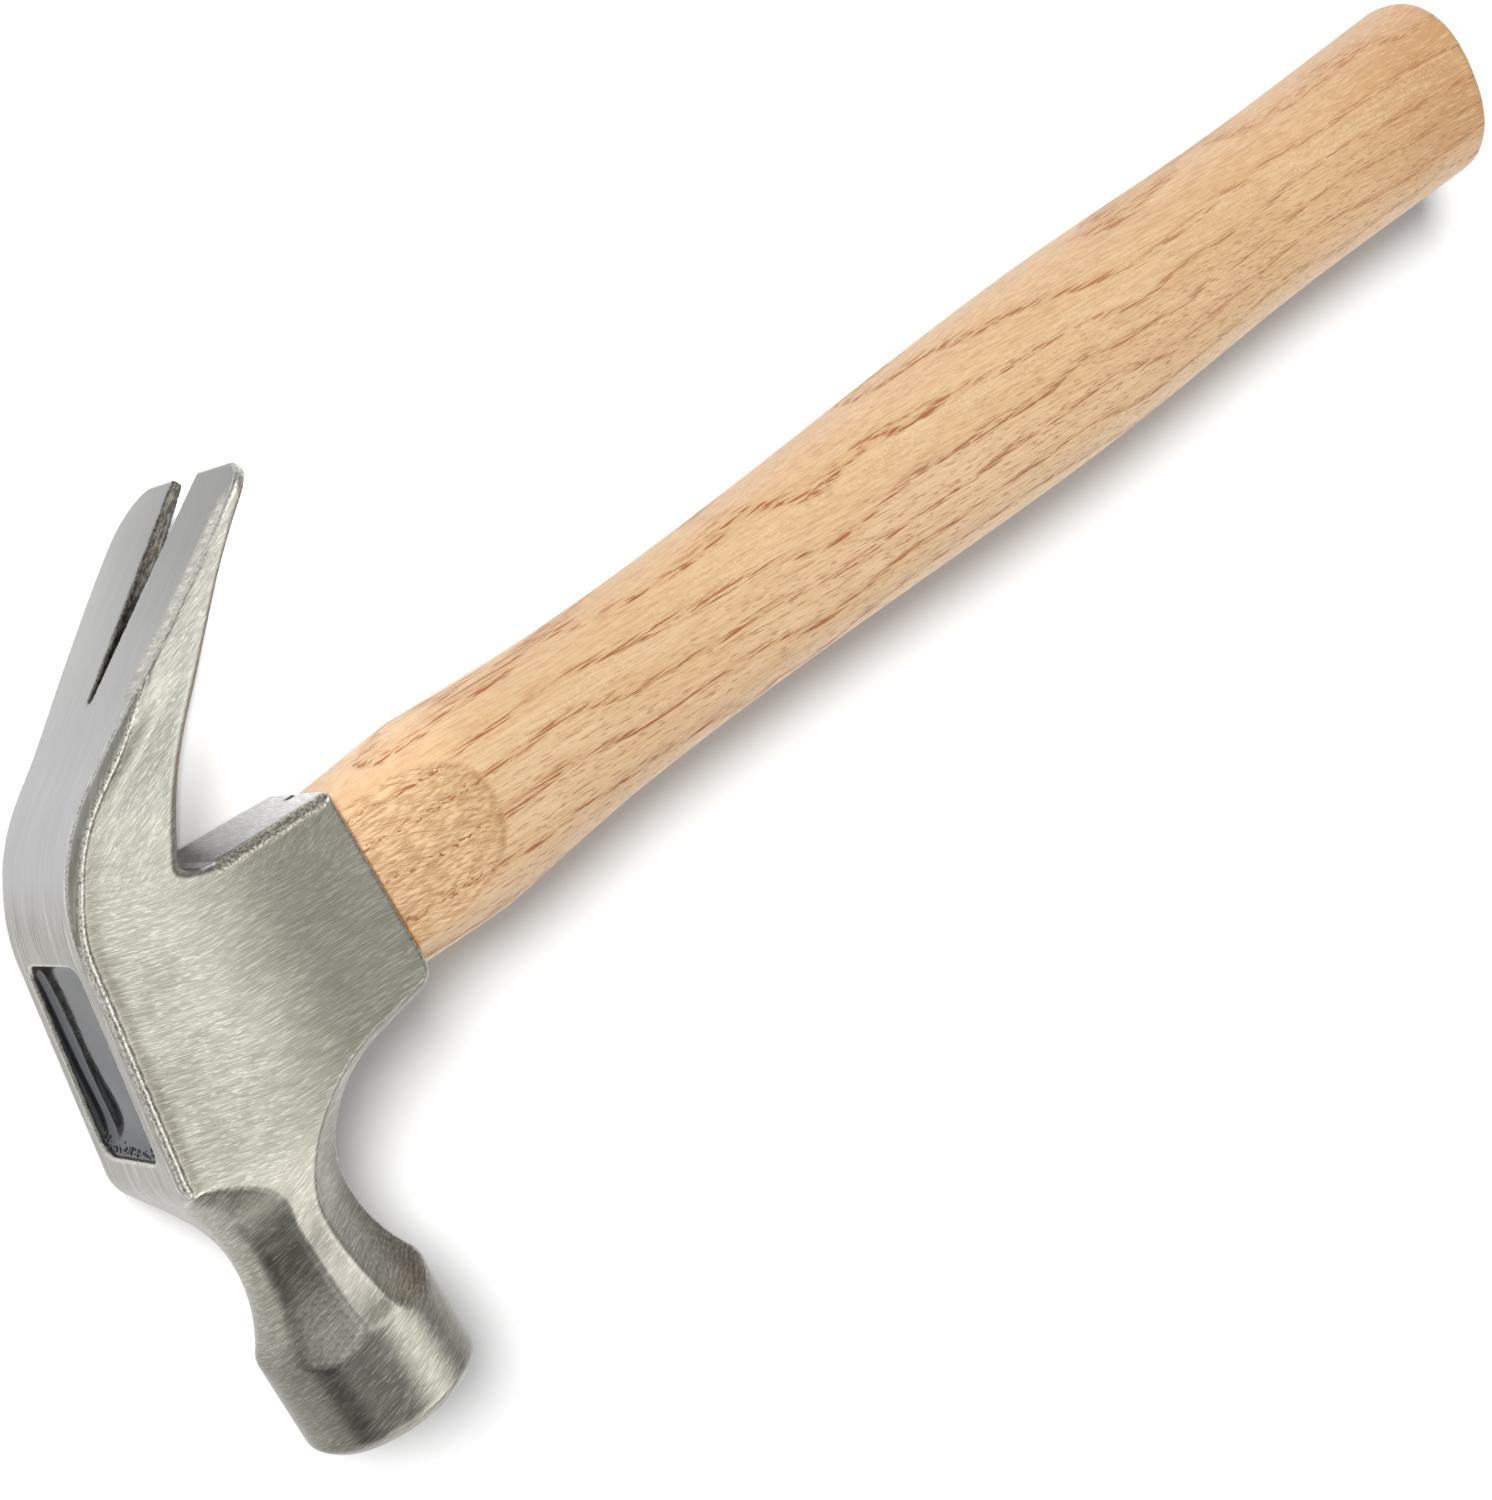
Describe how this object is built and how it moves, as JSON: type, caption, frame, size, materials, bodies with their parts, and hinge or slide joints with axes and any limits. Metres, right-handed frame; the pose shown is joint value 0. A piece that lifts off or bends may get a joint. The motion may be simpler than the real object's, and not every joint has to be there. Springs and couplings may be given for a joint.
{
  "type": "curved claw hammer",
  "caption": "Curved claw hammer with a forged steel head, round bevelled face, octagonal neck and slotted claw, wedged and resin sealed on a shaped hardwood handle.",
  "frame": {"origin": "under the middle of the bounding box, on the surface that the hammer lies on with its cheeks level", "axes": "+X along the handle from the head to the butt, +Y from the striking face to the claw, +Z out of the upper cheek"},
  "size_m": [0.325, 0.1198, 0.0344],
  "materials": {
    "head_steel": "brushed drop-forged steel, raw at the bevels",
    "handle_wood": "open-pored pale hardwood, thin satin lacquer",
    "wedge_wood": "raw wood",
    "wedge_steel": "bare mild steel",
    "resin": "poured glossy black resin"
  },
  "bodies": {
    "root": {"hammer_head": "head_steel", "handle": "handle_wood", "wooden_wedge": "wedge_wood", "steel_wedge_claw_side": "wedge_steel", "steel_wedge_face_side": "wedge_steel", "resin_seal": "resin"}
  },
  "joints": []
}
